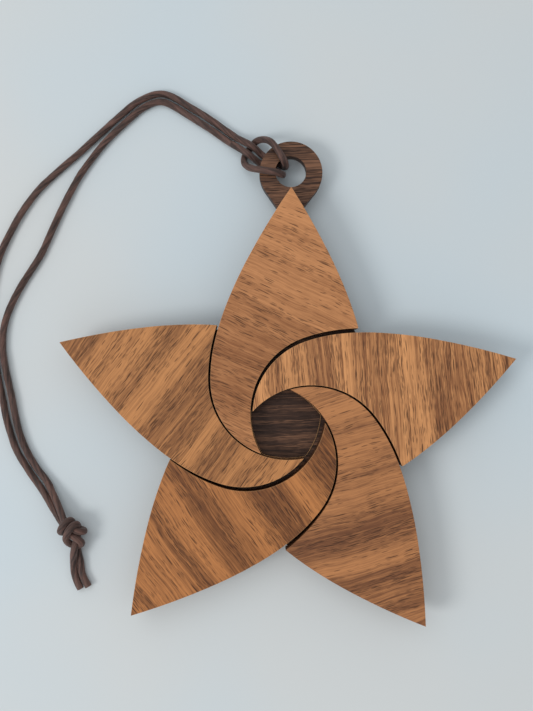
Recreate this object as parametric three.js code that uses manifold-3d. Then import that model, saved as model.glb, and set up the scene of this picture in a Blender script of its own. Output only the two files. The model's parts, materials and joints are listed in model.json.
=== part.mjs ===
// Hanging star puzzle: five hooked blades that slide outwards together on a dark back plate with a ring.
// Millimetres. The star lies flat with its back on z = 0, its centre on the Z axis and its top tip towards +Y.
import * as THREE from 'three';
import { mergeVertices } from 'three/addons/utils/BufferGeometryUtils.js';
import Module from 'manifold-3d';

// ---- Driving dimensions ----
const STAR_RADIUS = 57.5;
const BLADE_COUNT = 5;
const PITCH = (2 * Math.PI) / BLADE_COUNT;

// Convex edge of a blade, from its tip round to its claw: tangent arcs as [radius, length].
const TIP_HALF_ANGLE = THREE.MathUtils.degToRad(33.6);
const EDGE_ARCS = [[169.3, 21], [104, 12.6], [58.4, 9], [39.5, 9], [18.6, 38]];
const EDGE_STEP = 1.7;
const BLADE_GAP = 0.55;

// Heights of the layers, from the back.
const COVER_THICKNESS = 2;
const PLATE_THICKNESS = 2.8;
const SLIDE_GAP = 0.3;
const BLADE_THICKNESS = 4.2;
const PLATE_TOP = COVER_THICKNESS + PLATE_THICKNESS;
const BLADE_BACK = PLATE_TOP + SLIDE_GAP;

// Each blade sits a little out of true in its running clearance: [clockwise degrees, x, y].
const SEAT_PIVOT = STAR_RADIUS / 2;
const BLADE_SEATS = {
  top: [-0.74, -0.13, -0.06],
  right: [-0.49, 0.24, 0.04],
  lower_right: [-0.96, -0.26, 0.21],
  lower_left: [2.26, 0.42, 0.12],
  left: [0.18, 0.3, 0.01],
};

// Hidden spider: arms under the blades, with a low boss that fills the opening between the claws.
const ARM_END = 42.3;
const ARM_RADIUS = 5;
const ARM_SIDE = THREE.MathUtils.degToRad(22);
const VALLEY_RADIUS = 28.3;
const BOSS_RISE = 0.2;
const BOSS_ARC_RADIUS = 18.97;

// Hanging ring and its neck.
const RING = { x: -0.55, y: 62.1, outer: 7.78 };
const RING_HOLE = { x: -0.6, y: 62.35, radius: 3.85 };
const NECK_HALF_WIDTH = 3.3;
const NECK_TANGENT = THREE.MathUtils.degToRad(-37);
const NECK_TOP = 53.5;
const NECK_FOOT = 36;

// Dovetail slots, keys and pegs.
const TRAVEL = 6;
const KEY_LENGTH = 11;
const KEY_START = 22;
const SLOT_HALF_BACK = 3.7;
const SLOT_HALF_FRONT = 2.5;
const FIT = 0.3;
const PEG_RADIUS = 1;
const PEG_FIT = 0.15;
const PEG_DEPTH = 3;
const PEG_OFFSET = 3;

// Waxed cord.
const CORD_RADIUS = 0.9;
const CORD_SIDES = 8;

const COLOURS = { walnut: 0x9a6239, plate: 0x4a342a, key: 0x7b4b2c, peg: 0xc9a26b, cord: 0x4a332e };

// ---- Solids ----
const wasm = await Module();
wasm.setup();

function weld(geometry) {
  const bare = geometry.index ? geometry.toNonIndexed() : geometry.clone();
  bare.deleteAttribute('normal');
  bare.deleteAttribute('uv');
  return mergeVertices(bare, 1e-4);
}

function toSolid(geometry) {
  const welded = weld(geometry);
  const mesh = new wasm.Mesh({
    numProp: 3,
    vertProperties: new Float32Array(welded.attributes.position.array),
    triVerts: new Uint32Array(welded.index.array),
  });
  return new wasm.Manifold(mesh);
}

function toGeometry(solid) {
  const mesh = solid.getMesh();
  const geometry = new THREE.BufferGeometry();
  geometry.setAttribute('position', new THREE.BufferAttribute(new Float32Array(mesh.vertProperties), 3));
  geometry.setIndex(new THREE.BufferAttribute(new Uint32Array(mesh.triVerts), 1));
  const flat = geometry.toNonIndexed();
  flat.computeVertexNormals();
  return flat;
}

function extrude(outline, bottom, top) {
  const shape = new THREE.Shape(outline);
  const geometry = new THREE.ExtrudeGeometry(shape, { depth: top - bottom, bevelEnabled: false });
  return geometry.translate(0, 0, bottom);
}

function disc(x, y, radius, bottom, top, sides) {
  const geometry = new THREE.CylinderGeometry(radius, radius, top - bottom, sides);
  return geometry.rotateX(Math.PI / 2).translate(x, y, (top + bottom) / 2);
}

// ---- Outlines ----
function turned(point, angle) {
  return point.clone().rotateAround(new THREE.Vector2(), angle);
}

// The convex edge, moved outwards by offset, and the centre of its last arc.
function convexEdge(offset) {
  const points = [];
  let start = new THREE.Vector2(0, STAR_RADIUS);
  let heading = -Math.PI / 2 - TIP_HALF_ANGLE;
  let centre = start;
  for (const [radius, length] of EDGE_ARCS) {
    const inward = new THREE.Vector2(Math.cos(heading + Math.PI / 2), Math.sin(heading + Math.PI / 2));
    centre = start.clone().addScaledVector(inward, radius);
    const steps = Math.ceil(length / EDGE_STEP);
    const sweep = length / radius;
    const spoke = inward.clone().multiplyScalar(-(radius + offset));
    for (let i = points.length ? 1 : 0; i <= steps; i++) {
      points.push(centre.clone().add(turned(spoke, (sweep * i) / steps)));
    }
    start = centre.clone().add(turned(inward.clone().multiplyScalar(-radius), sweep));
    heading += sweep;
  }
  return { points, centre };
}

// Where two open lines cross first along the first one.
function crossing(first, second) {
  for (let i = 0; i + 1 < first.length; i++) {
    for (let j = 0; j + 1 < second.length; j++) {
      const a = first[i + 1].clone().sub(first[i]);
      const b = second[j + 1].clone().sub(second[j]);
      const between = second[j].clone().sub(first[i]);
      const area = a.cross(b);
      const t = between.cross(b) / area;
      const u = between.cross(a) / area;
      if (t >= 0 && t < 1 && u >= 0 && u < 1) {
        return { i, j, point: first[i].clone().addScaledVector(a, t) };
      }
    }
  }
  throw new Error('lines do not cross');
}

// A blade, seen from the front with its tip on +Y: its own convex edge from tip to claw, then the
// hollow that clears the next blade, then the mirrored edge from the notch back to the tip.
function bladeOutline() {
  const own = convexEdge(0).points;
  const hollow = convexEdge(BLADE_GAP).points.map((point) => turned(point, -PITCH));
  const far = own.map((point) => new THREE.Vector2(-point.x, point.y));
  const claw = crossing([...own].reverse(), [...hollow].reverse());
  const notch = crossing(far, hollow);
  return [
    ...own.slice(0, own.length - 1 - claw.i),
    claw.point,
    ...hollow.slice(notch.j + 1, hollow.length - 1 - claw.j).reverse(),
    notch.point,
    ...far.slice(1, notch.i + 1).reverse(),
  ];
}

function spiderOutline() {
  const outline = new THREE.Path();
  for (let k = 0; k < BLADE_COUNT; k++) {
    const axis = Math.PI / 2 + k * PITCH;
    const end = turned(new THREE.Vector2(ARM_END, 0), axis);
    const quarter = Math.PI / 2;
    outline.absarc(end.x, end.y, ARM_RADIUS, axis - quarter + ARM_SIDE, axis + quarter - ARM_SIDE, false);
    const valley = turned(new THREE.Vector2(VALLEY_RADIUS, 0), axis + PITCH / 2);
    outline.lineTo(valley.x, valley.y);
  }
  outline.closePath();
  return outline.getPoints(8);
}

function neckOutline() {
  const tangent = new THREE.Vector2(RING.outer * Math.cos(NECK_TANGENT), RING.outer * Math.sin(NECK_TANGENT));
  return [
    new THREE.Vector2(RING.x - NECK_HALF_WIDTH, NECK_FOOT),
    new THREE.Vector2(RING.x + NECK_HALF_WIDTH, NECK_FOOT),
    new THREE.Vector2(RING.x + NECK_HALF_WIDTH, NECK_TOP),
    new THREE.Vector2(RING.x + tangent.x, RING.y + tangent.y),
    new THREE.Vector2(RING.x - tangent.x, RING.y + tangent.y),
    new THREE.Vector2(RING.x - NECK_HALF_WIDTH, NECK_TOP),
  ];
}

// ---- Pieces ----
// A bar of dovetail section along +Y, narrower by inset than the slot at every height.
function dovetailBar(inset, bottom, top, near, far) {
  const slope = (SLOT_HALF_BACK - SLOT_HALF_FRONT) / PLATE_THICKNESS;
  const half = (z) => SLOT_HALF_BACK - (z - COVER_THICKNESS) * slope - inset;
  const section = new THREE.Shape([
    new THREE.Vector2(-half(bottom), bottom),
    new THREE.Vector2(half(bottom), bottom),
    new THREE.Vector2(half(top), top),
    new THREE.Vector2(-half(top), top),
  ]);
  const bar = new THREE.ExtrudeGeometry(section, { depth: far - near, bevelEnabled: false });
  return bar.rotateX(Math.PI / 2).translate(0, far, 0);
}

function pegCentres() {
  const middle = KEY_START + KEY_LENGTH / 2;
  return { inner: middle - PEG_OFFSET, outer: middle + PEG_OFFSET };
}

function bladeGeometry([clockwise, x, y]) {
  const seat = new THREE.Matrix4()
    .makeTranslation(x, y + SEAT_PIVOT, 0)
    .multiply(new THREE.Matrix4().makeRotationZ(-THREE.MathUtils.degToRad(clockwise)))
    .multiply(new THREE.Matrix4().makeTranslation(0, -SEAT_PIVOT, 0));
  const body = extrude(bladeOutline(), BLADE_BACK, BLADE_BACK + BLADE_THICKNESS).applyMatrix4(seat);
  let solid = toSolid(body);
  for (const centre of Object.values(pegCentres())) {
    const depth = BLADE_BACK + PEG_DEPTH + FIT;
    solid = solid.subtract(toSolid(disc(0, centre, PEG_RADIUS + PEG_FIT, BLADE_BACK - 1, depth, 16)));
  }
  return toGeometry(solid);
}

function keyGeometry() {
  let solid = toSolid(dovetailBar(FIT, COVER_THICKNESS + FIT, PLATE_TOP, KEY_START, KEY_START + KEY_LENGTH));
  for (const centre of Object.values(pegCentres())) {
    solid = solid.subtract(toSolid(disc(0, centre, PEG_RADIUS + PEG_FIT, 0, BLADE_BACK, 16)));
  }
  return toGeometry(solid);
}

function pegGeometry(centre) {
  return disc(0, centre, PEG_RADIUS, COVER_THICKNESS + 2 * FIT, BLADE_BACK + PEG_DEPTH, 16);
}

function plateGeometry() {
  let solid = toSolid(extrude(spiderOutline(), COVER_THICKNESS, PLATE_TOP))
    .add(toSolid(extrude(neckOutline(), COVER_THICKNESS, PLATE_TOP)))
    .add(toSolid(disc(RING.x, RING.y, RING.outer, COVER_THICKNESS, PLATE_TOP, 72)));
  const { centre } = convexEdge(0);
  let boss = null;
  for (let k = 0; k < BLADE_COUNT; k++) {
    const middle = turned(centre, k * PITCH);
    const round = toSolid(disc(middle.x, middle.y, BOSS_ARC_RADIUS, PLATE_TOP - 1, PLATE_TOP + BOSS_RISE, 96));
    boss = boss ? boss.intersect(round) : round;
  }
  solid = solid.add(boss);
  solid = solid.subtract(toSolid(disc(RING_HOLE.x, RING_HOLE.y, RING_HOLE.radius, 0, PLATE_TOP + 1, 40)));
  const slotEnd = KEY_START + KEY_LENGTH + TRAVEL + FIT;
  for (let k = 0; k < BLADE_COUNT; k++) {
    const slot = dovetailBar(0, COVER_THICKNESS - 0.5, PLATE_TOP + 0.5, KEY_START - FIT, slotEnd);
    solid = solid.subtract(toSolid(slot.rotateZ(k * PITCH)));
  }
  return toGeometry(solid);
}

// ---- Cord: a doubled loop, hitched round the ring and tied in one knot. Points are [x, y, z]. ----
const HITCH_ROUTE = [
  [-14.46, 71.4, 1.3], [-12.6, 70.25, 2.4], [-10.9, 69.2, 3.0], [-9.5, 68.4, 2.5], [-8.3, 67.65, 1.35],
  [-6.8, 66.75, 1.05], [-5.0, 66.0, 1.0], [-3.3, 65.1, 0.98], [-2.2, 64.35, 1.7], [-1.85, 64.1, 2.9],
  [-1.9, 64.2, 4.0], [-2.35, 64.8, 5.5], [-3.1, 65.9, 6.0], [-4.2, 67.6, 6.0], [-5.7, 69.3, 5.6],
  [-7.7, 70.5, 3.6], [-9.4, 70.5, 1.7], [-10.6, 69.3, 1.0], [-11.35, 68.1, 0.95], [-12.1, 66.9, 1.0],
  [-12.3, 65.4, 1.5], [-11.4, 63.7, 3.2], [-9.6, 62.6, 5.2], [-7.8, 62.2, 6.0], [-5.9, 62.0, 5.98],
  [-4.2, 61.8, 5.85], [-2.9, 61.6, 4.8], [-2.5, 61.85, 3.4], [-2.6, 62.3, 2.1], [-3.4, 63.0, 1.1],
  [-5.2, 64.0, 1.0], [-7.0, 64.6, 1.0], [-8.7, 65.4, 1.2], [-10.1, 66.2, 2.3], [-11.6, 67.1, 3.0],
  [-13.5, 68.4, 2.4], [-15.54, 69.8, 1.3],
];
const STRAND_A_ROUTE = [
  [-14.72, 71.58, 1.22], [-16.6, 72.9, 0.95], [-19.4, 74.8, 0.95], [-25.8, 78.6, 0.95], [-33.4, 82.0, 0.95],
  [-39.4, 79.8, 0.95], [-44.6, 75.2, 0.95], [-52.8, 67.0, 0.95], [-63.1, 56.8, 0.95], [-67.8, 49.8, 0.95],
  [-72.3, 39.6, 0.95], [-74.1, 31.5, 0.95], [-74.2, 24.5, 0.95], [-73.0, 17.2, 0.95], [-71.6, 10.5, 0.95],
  [-70.0, 4.0, 0.95], [-68.6, -1.5, 0.95], [-66.1, -8.2, 0.95], [-62.9, -13.2, 1.0], [-59.55, -17.5, 1.2],
  [-53.98, -25.27, 2.5],
];
const STRAND_B_ROUTE = [
  [-15.8, 69.98, 1.22], [-17.6, 71.2, 0.95], [-20.4, 73.0, 0.95], [-26.8, 76.8, 0.95], [-33.5, 79.95, 0.95],
  [-38.2, 78.15, 0.95], [-42.4, 74.3, 0.95], [-47.2, 69.2, 0.95], [-53.3, 60.4, 0.95], [-57.8, 50.9, 0.95],
  [-62.3, 39.9, 0.95], [-67.0, 31.6, 0.95], [-70.0, 24.1, 0.95], [-70.6, 17.4, 0.95], [-69.4, 10.7, 0.95],
  [-67.7, 4.4, 0.95], [-66.3, -1.5, 0.95], [-64.0, -7.6, 0.95], [-61.0, -12.4, 1.0], [-57.85, -16.3, 1.2],
  [-52.3, -24.15, 2.5],
];
const TAIL_A_ROUTE = [[-50.75, -31.75, 2.1], [-50.7, -35.0, 1.2], [-50.2, -38.4, 0.95], [-48.8, -41.6, 0.95]];
const TAIL_B_ROUTE = [[-48.8, -31.25, 2.1], [-48.7, -35.0, 1.2], [-48.2, -38.0, 0.95], [-46.9, -40.9, 0.95]];
const KNOT = { x: -51.0, y: -27.9, z: 3.05, length: 3.5, width: 3.4, height: 2.9 };
const KNOT_HEADING = THREE.MathUtils.degToRad(-60);

function cordTube(route, steps) {
  const octagon = [];
  for (let i = 0; i < CORD_SIDES; i++) {
    const angle = (2 * Math.PI * i) / CORD_SIDES;
    octagon.push(new THREE.Vector2(CORD_RADIUS * Math.cos(angle), CORD_RADIUS * Math.sin(angle)));
  }
  const path = new THREE.CatmullRomCurve3(route.map((point) => new THREE.Vector3(...point)));
  return new THREE.ExtrudeGeometry(new THREE.Shape(octagon), { extrudePath: path, steps });
}

function knotGeometry() {
  const profile = [];
  for (let i = 0; i <= 10; i++) {
    const angle = -Math.PI / 2 + (Math.PI * i) / 10;
    profile.push(new THREE.Vector2(Math.cos(angle), Math.sin(angle)));
  }
  profile[0].x = 0;
  profile[10].x = 0;
  const body = new THREE.LatheGeometry(profile, 16).rotateX(Math.PI / 2);
  return body.scale(KNOT.length, KNOT.width, KNOT.height).rotateZ(KNOT_HEADING).translate(KNOT.x, KNOT.y, KNOT.z);
}

// ---- Assembly ----
function piece(name, geometry, color, roughness) {
  const mesh = new THREE.Mesh(geometry, new THREE.MeshStandardMaterial({ color, roughness, metalness: 0 }));
  mesh.name = name;
  return mesh;
}

const star = new THREE.Group();
star.add(piece('back_cover', extrude(spiderOutline(), 0, COVER_THICKNESS), COLOURS.walnut, 0.6));
star.add(piece('back_plate', plateGeometry(), COLOURS.plate, 0.6));

Object.entries(BLADE_SEATS).forEach(([side, seat], k) => {
  const sector = new THREE.Group();
  sector.rotation.z = -k * PITCH;
  sector.add(piece(`blade_${side}`, bladeGeometry(seat), COLOURS.walnut, 0.5));
  sector.add(piece(`key_${side}`, keyGeometry(), COLOURS.key, 0.6));
  for (const [end, centre] of Object.entries(pegCentres())) {
    sector.add(piece(`peg_${side}_${end}`, pegGeometry(centre), COLOURS.peg, 0.7));
  }
  star.add(sector);
});

star.add(piece('cord_hitch', cordTube(HITCH_ROUTE, 52), COLOURS.cord, 0.8));
star.add(piece('cord_strand_a', cordTube(STRAND_A_ROUTE, 36), COLOURS.cord, 0.8));
star.add(piece('cord_strand_b', cordTube(STRAND_B_ROUTE, 36), COLOURS.cord, 0.8));
star.add(piece('cord_knot', knotGeometry(), COLOURS.cord, 0.8));
star.add(piece('cord_tail_a', cordTube(TAIL_A_ROUTE, 5), COLOURS.cord, 0.8));
star.add(piece('cord_tail_b', cordTube(TAIL_B_ROUTE, 5), COLOURS.cord, 0.8));

export default star;
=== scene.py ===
"""Looks of the hanging star puzzle: five walnut blades on a dark plate, on a knotted cord."""

import json
import logging
import math
from dataclasses import dataclass, field
from enum import Enum

import bmesh
import bpy
from mathutils import Matrix, Vector

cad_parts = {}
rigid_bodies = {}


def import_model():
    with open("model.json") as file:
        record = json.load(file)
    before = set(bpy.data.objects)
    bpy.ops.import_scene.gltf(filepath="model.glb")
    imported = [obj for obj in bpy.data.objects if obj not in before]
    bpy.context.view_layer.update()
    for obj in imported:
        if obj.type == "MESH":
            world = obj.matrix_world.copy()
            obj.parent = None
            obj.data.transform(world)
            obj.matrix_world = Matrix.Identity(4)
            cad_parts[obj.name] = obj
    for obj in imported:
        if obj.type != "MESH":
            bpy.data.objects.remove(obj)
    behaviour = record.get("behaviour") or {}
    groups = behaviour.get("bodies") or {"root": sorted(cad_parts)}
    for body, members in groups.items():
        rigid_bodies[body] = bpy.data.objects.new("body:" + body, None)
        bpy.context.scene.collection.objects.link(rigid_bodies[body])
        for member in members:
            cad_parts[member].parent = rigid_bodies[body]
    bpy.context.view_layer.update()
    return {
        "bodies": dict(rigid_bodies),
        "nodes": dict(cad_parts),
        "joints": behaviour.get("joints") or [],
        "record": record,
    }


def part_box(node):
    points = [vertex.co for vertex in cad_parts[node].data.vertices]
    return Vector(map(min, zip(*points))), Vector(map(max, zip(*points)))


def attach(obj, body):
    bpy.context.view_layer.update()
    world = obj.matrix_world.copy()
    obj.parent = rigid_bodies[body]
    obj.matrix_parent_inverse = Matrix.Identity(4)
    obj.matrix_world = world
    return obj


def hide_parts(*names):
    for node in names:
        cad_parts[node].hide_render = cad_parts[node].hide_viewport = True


LOG = logging.getLogger("star_puzzle")
MM = 0.001

Point = tuple[float, float, float]
Rgb = tuple[float, float, float]


class Side(Enum):
    """The five sides of the star, clockwise from the top."""

    TOP = "top"
    RIGHT = "right"
    LOWER_RIGHT = "lower_right"
    LOWER_LEFT = "lower_left"
    LEFT = "left"


class PegEnd(Enum):
    """The two pegs that pin a blade to its key."""

    INNER = "inner"
    OUTER = "outer"


# ---- Node trees ----
def linear(colour: Rgb) -> tuple[float, float, float, float]:
    """Turn an sRGB colour of 0 to 255 into the linear colour that nodes take.

    Args:
        colour: Red, green and blue, 0 to 255.

    Returns:
        Linear red, green, blue and an alpha of 1.
    """
    channels = [value / 255 for value in colour]
    bent = [v / 12.92 if v <= 0.04045 else ((v + 0.055) / 1.055) ** 2.4 for v in channels]
    return (bent[0], bent[1], bent[2], 1.0)


@dataclass(frozen=True)
class Layer:
    """One layer of stretched noise: its cells to a unit of the place, and how its levels spread."""

    cells: Point
    octaves: float
    low: float
    high: float
    to_low: float = -1.0
    to_high: float = 1.0
    rough: float = 0.5


class Graph:
    """A node tree with short ways to add nodes and join them."""

    MIX_COLOUR_INPUTS = (0, 6, 7)
    MIX_COLOUR_OUTPUT = 2

    def __init__(self, tree: bpy.types.NodeTree) -> None:
        """Keep the tree that nodes are added to."""
        self.tree = tree

    def add(self, kind: str, **settings: object) -> bpy.types.Node:
        """Add a node.

        Args:
            kind: The node's type name.
            settings: Properties to set on it.

        Returns:
            The new node.
        """
        node = self.tree.nodes.new(kind)
        for name, value in settings.items():
            setattr(node, name, value)
        return node

    def feed(self, target: bpy.types.NodeSocket, value: object) -> None:
        """Join a socket to an input, or set the input to a plain value."""
        if isinstance(value, bpy.types.NodeSocket):
            self.tree.links.new(value, target)
        else:
            target.default_value = value

    def math(
        self, operation: str, first: object, second: object = 0.0, third: object = 0.0
    ) -> bpy.types.NodeSocket:
        """Add a Math node.

        Args:
            operation: The Math operation.
            first: Its first value or socket.
            second: Its second value or socket.
            third: Its third value or socket.

        Returns:
            The result socket.
        """
        node = self.add("ShaderNodeMath", operation=operation)
        for socket, value in zip(node.inputs, (first, second, third)):
            self.feed(socket, value)
        return node.outputs[0]

    def stretch(self, vector: object, scale: Point) -> bpy.types.NodeSocket:
        """Multiply a vector by a scale for each axis and return the result socket."""
        node = self.add("ShaderNodeVectorMath", operation="MULTIPLY")
        self.feed(node.inputs[0], vector)
        self.feed(node.inputs[1], scale)
        return node.outputs[0]

    def noise(
        self, vector: object, detail: float = 2.0, rough: float = 0.5
    ) -> bpy.types.NodeSocket:
        """Add a Noise Texture of scale 1.

        Args:
            vector: Where it is read, already stretched.
            detail: Octaves.
            rough: How strong the finer octaves are.

        Returns:
            The 0 to 1 value socket.
        """
        node = self.add("ShaderNodeTexNoise", noise_dimensions="3D")
        self.feed(node.inputs["Vector"], vector)
        self.feed(node.inputs["Scale"], 1.0)
        self.feed(node.inputs["Detail"], detail)
        self.feed(node.inputs["Roughness"], rough)
        return node.outputs[0]

    def between(
        self, value: object, low: float, high: float, to_low: float = 0.0, to_high: object = 1.0
    ) -> bpy.types.NodeSocket:
        """Map a value smoothly from one range to another.

        Args:
            value: The value or socket.
            low: Start of the range it comes from.
            high: End of that range.
            to_low: What low becomes.
            to_high: What high becomes.

        Returns:
            The mapped socket, held inside the new range.
        """
        node = self.add("ShaderNodeMapRange", interpolation_type="SMOOTHSTEP")
        labels = ("Value", "From Min", "From Max", "To Min", "To Max")
        for label, entry in zip(labels, (value, low, high, to_low, to_high)):
            self.feed(node.inputs[label], entry)
        return node.outputs[0]

    def layer(self, place: object, layer: Layer) -> bpy.types.NodeSocket:
        """Add one layer of noise, spread between its own two levels.

        Args:
            place: Where it is read.
            layer: Its cells and levels.

        Returns:
            The layer's level socket.
        """
        value = self.noise(self.stretch(place, layer.cells), layer.octaves, layer.rough)
        return self.between(value, layer.low, layer.high, layer.to_low, layer.to_high)

    def mix(self, factor: object, first: object, second: object) -> bpy.types.NodeSocket:
        """Mix two colours.

        Args:
            factor: Share of the second colour.
            first: First colour or socket.
            second: Second colour or socket.

        Returns:
            The mixed colour socket.
        """
        node = self.add("ShaderNodeMix", data_type="RGBA")
        for index, entry in zip(self.MIX_COLOUR_INPUTS, (factor, first, second)):
            self.feed(node.inputs[index], entry)
        return node.outputs[self.MIX_COLOUR_OUTPUT]

    def ramp(self, value: object, stops: tuple[tuple[float, float], ...]) -> bpy.types.NodeSocket:
        """Add a grey ramp.

        Args:
            value: The 0 to 1 value or socket.
            stops: Places and their grey levels.

        Returns:
            The level socket.
        """
        node = self.add("ShaderNodeValToRGB")
        node.color_ramp.interpolation = "EASE"
        elements = node.color_ramp.elements
        elements.remove(elements[1])
        for i, (place, level) in enumerate(stops):
            element = elements[0] if i == 0 else elements.new(place)
            element.position = place
            element.color = (level, level, level, 1.0)
        self.feed(node.inputs[0], value)
        return node.outputs[0]

    def group(self, tree: bpy.types.NodeTree, **values: object) -> bpy.types.Node:
        """Place a node group.

        Args:
            tree: The group's tree.
            values: Values or sockets for its inputs, with _ for a space.

        Returns:
            The group node.
        """
        node = self.add("ShaderNodeGroup", node_tree=tree)
        for name, value in values.items():
            self.feed(node.inputs[name.replace("_", " ")], value)
        return node


def new_group(
    name: str, kind: str, inputs: dict[str, tuple[str, object]], outputs: dict[str, str]
) -> tuple[Graph, bpy.types.Node, bpy.types.Node]:
    """Start a node group with named sockets.

    Args:
        name: The group's name.
        kind: ShaderNodeTree or GeometryNodeTree.
        inputs: Socket kind and default for each input's name; a default of None is left.
        outputs: Socket kind for each output's name.

    Returns:
        The graph, the group's input node and its output node.
    """
    tree = bpy.data.node_groups.new(name, kind)
    for label, (socket_kind, default) in inputs.items():
        socket = tree.interface.new_socket(
            name=label, in_out="INPUT", socket_type="NodeSocket" + socket_kind
        )
        if default is not None:
            socket.default_value = default
    for label, socket_kind in outputs.items():
        tree.interface.new_socket(
            name=label, in_out="OUTPUT", socket_type="NodeSocket" + socket_kind
        )
    graph = Graph(tree)
    return graph, graph.add("NodeGroupInput"), graph.add("NodeGroupOutput")


def new_material(name: str) -> tuple[bpy.types.Material, Graph, bpy.types.Node]:
    """Start a material with one Principled shader.

    Args:
        name: The material's name.

    Returns:
        The material, its graph and its shader node.
    """
    material = bpy.data.materials.new(name)
    material.use_nodes = True
    return material, Graph(material.node_tree), material.node_tree.nodes["Principled BSDF"]


# ---- Shared effects ----
# How grain lines sway: cells to the millimetre, and how far they move.
BROAD_SWAY = (0.035, 0.045, 0.045)
FINE_SWAY = (0.16, 0.3, 0.3)
BROAD_SWAY_MM = 2.4
FINE_SWAY_MM = 0.45

# Layers of the wood, with X along the grain.
STREAKS = Layer((0.03, 0.8, 0.8), 2.0, 0.32, 0.68, -0.6, 0.6)
THREADS = Layer((0.04, 2.4, 2.4), 3.0, 0.35, 0.65, -1.1, 1.1, rough=0.75)
FIBRES = Layer((0.3, 5.5, 5.5), 2.0, 0.3, 0.7)
CURL = Layer((0.32, 0.14, 0.14), 2.0, 0.3, 0.7)
DARK_LINES = Layer((0.035, 1.9, 1.9), 1.0, 0.6, 0.66, 0.0, 1.0)
PORE_CROWDS = Layer((0.03, 0.34, 0.34), 2.0, 0.4, 0.6, 0.2, 1.6)
DARK_LINE_GAIN = 1.3
FIBRE_GAIN = 0.2
CURL_GAIN = 0.07
END_GRAIN_GAIN = 0.45
LEVEL_LOW, LEVEL_HIGH = -0.45, 1.45
LONG_PORE, LONG_PORE_REACH = (0.2, 2.9, 2.9), 0.42
SHORT_PORE, SHORT_PORE_REACH, SHORT_PORE_GAIN = (0.42, 3.9, 3.9), 0.44, 0.85
PORE_CORE = 0.55
PORE_STAIN = 0.85
# Lighter tint on eased edges; where the arris layer holds more than 1, on the boss rim, the tint is
# a painted highlight.
ARRIS_GAIN = 0.3
ARRIS_TINT = (0.72, 0.42, 0.2, 1.0)
PORES_IN_LIGHT, PORES_IN_DARK = 0.3, 1.25
FAINTEST_PORE = 0.55
WOOD_ROUGHNESS, PORE_ROUGHNESS, FIBRE_ROUGHNESS = 0.46, 0.25, 0.05
FACE_HEIGHT, THREAD_HEIGHT, FIBRE_HEIGHT = 0.6, 0.12, 0.1

# Layers of the waxed twine, with Z along the cord.
YARNS = Layer((1.9, 1.9, 0.14), 2.0, 0.36, 0.64, 0.0, 1.0, rough=0.6)
HAIRS = Layer((5.5, 5.5, 0.9), 3.0, 0.3, 0.7, 0.0, 1.0, rough=0.65)
WAX = Layer((0.5, 0.5, 0.35), 2.0, 0.35, 0.7, 0.0, 1.0)
YARN_GAIN, HAIR_GAIN, WAX_GAIN = 0.6, 0.4, 0.3
TWINE_ROUGHNESS, WAX_ROUGHNESS = 0.66, -0.14


def grain_space_group() -> bpy.types.NodeTree:
    """Build the effect that makes grain lines wander.

    Returns:
        A group from a place in millimetres, X along the grain, to the place moved across it.
    """
    g, start, end = new_group(
        "Grain Space",
        "ShaderNodeTree",
        {"Vector": ("Vector", None), "Wander": ("Float", 1.4), "Slope": ("Float", 0.55)},
        {"Vector": "Vector", "Across": "Float"},
    )
    place = start.outputs["Vector"]
    slow = g.math("SUBTRACT", g.noise(g.stretch(place, BROAD_SWAY), 1.0), 0.5)
    quick = g.math("SUBTRACT", g.noise(g.stretch(place, FINE_SWAY), 1.0), 0.5)
    sway = g.math("MULTIPLY_ADD", slow, BROAD_SWAY_MM, g.math("MULTIPLY", quick, FINE_SWAY_MM))
    shift = g.math("MULTIPLY", sway, start.outputs["Wander"])
    axes = g.add("ShaderNodeSeparateXYZ")
    g.feed(axes.inputs[0], place)
    leaned = g.math("MULTIPLY_ADD", axes.outputs[2], start.outputs["Slope"], axes.outputs[1])
    across = g.math("ADD", leaned, shift)
    moved = g.add("ShaderNodeCombineXYZ")
    g.feed(moved.inputs[0], axes.outputs[0])
    g.feed(moved.inputs[1], across)
    g.feed(moved.inputs[2], axes.outputs[2])
    g.feed(end.inputs["Vector"], moved.outputs[0])
    g.feed(end.inputs["Across"], across)
    return g.tree


def pore_layer(
    g: Graph, place: object, cell: Point, reach: float, share: object
) -> bpy.types.NodeSocket:
    """Add one layer of short open pores, drawn out along the grain.

    Args:
        g: The graph.
        place: Place in millimetres, X along the grain.
        cell: Cells to the millimetre on each axis.
        reach: How much of its cell a pore fills.
        share: Share of the cells that hold one.

    Returns:
        The pore mask socket.
    """
    cells = g.add("ShaderNodeTexVoronoi", feature="F1", distance="EUCLIDEAN")
    g.feed(cells.inputs["Vector"], g.stretch(place, cell))
    g.feed(cells.inputs["Scale"], 1.0)
    pick = g.add("ShaderNodeSeparateColor")
    g.feed(pick.inputs[0], cells.outputs["Color"])
    held = g.math("LESS_THAN", pick.outputs[0], share)
    body = g.between(cells.outputs["Distance"], reach, reach * PORE_CORE)
    depth = g.math("MULTIPLY_ADD", pick.outputs[1], 1.0 - FAINTEST_PORE, FAINTEST_PORE)
    return g.math("MULTIPLY", g.math("MULTIPLY", body, held), depth)


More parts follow.
